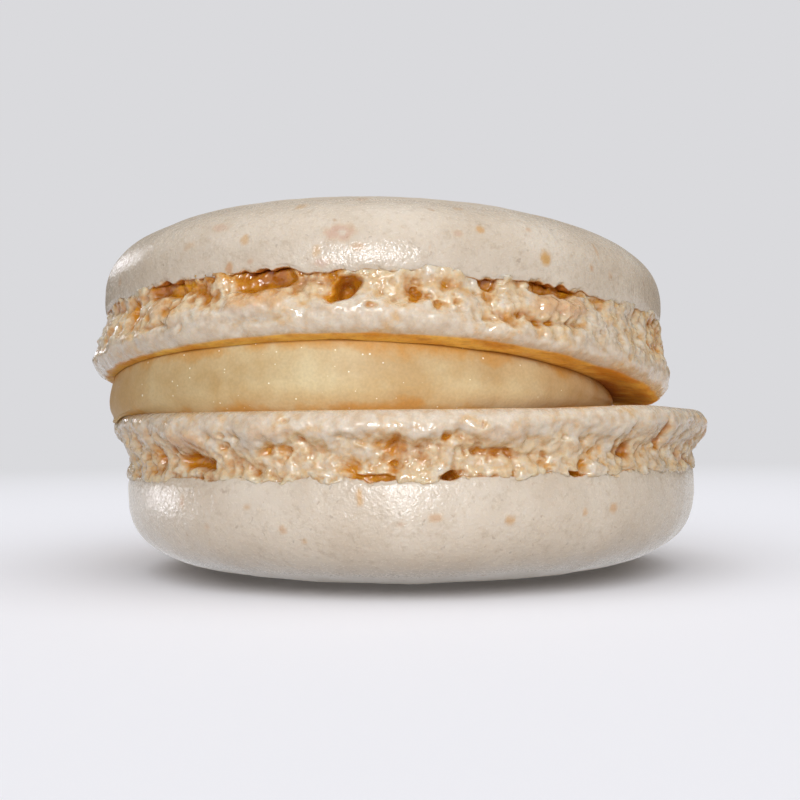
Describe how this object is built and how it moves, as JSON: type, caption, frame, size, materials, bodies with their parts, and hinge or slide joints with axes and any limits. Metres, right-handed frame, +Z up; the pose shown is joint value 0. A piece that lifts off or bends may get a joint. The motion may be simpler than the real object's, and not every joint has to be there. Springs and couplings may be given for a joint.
{
  "type": "french macaron",
  "caption": "Sandwich biscuit of two round almond meringue shells with ragged feet and a disc of buttercream between them, lying flat.",
  "frame": {"origin": "centre of the small flat spot on the lower dome, which the macaron rests on", "axes": "+Z up through the stack, -Y towards the front where the shells gape, +X towards the right where they close"},
  "size_m": [0.0471, 0.0459, 0.0266],
  "materials": {
    "meringue": "smooth satin skin over a crumbly foot",
    "buttercream": "smooth, slightly waxy"
  },
  "bodies": {
    "root": {"lower_shell": "meringue", "filling": "buttercream", "upper_shell": "meringue"}
  },
  "joints": []
}
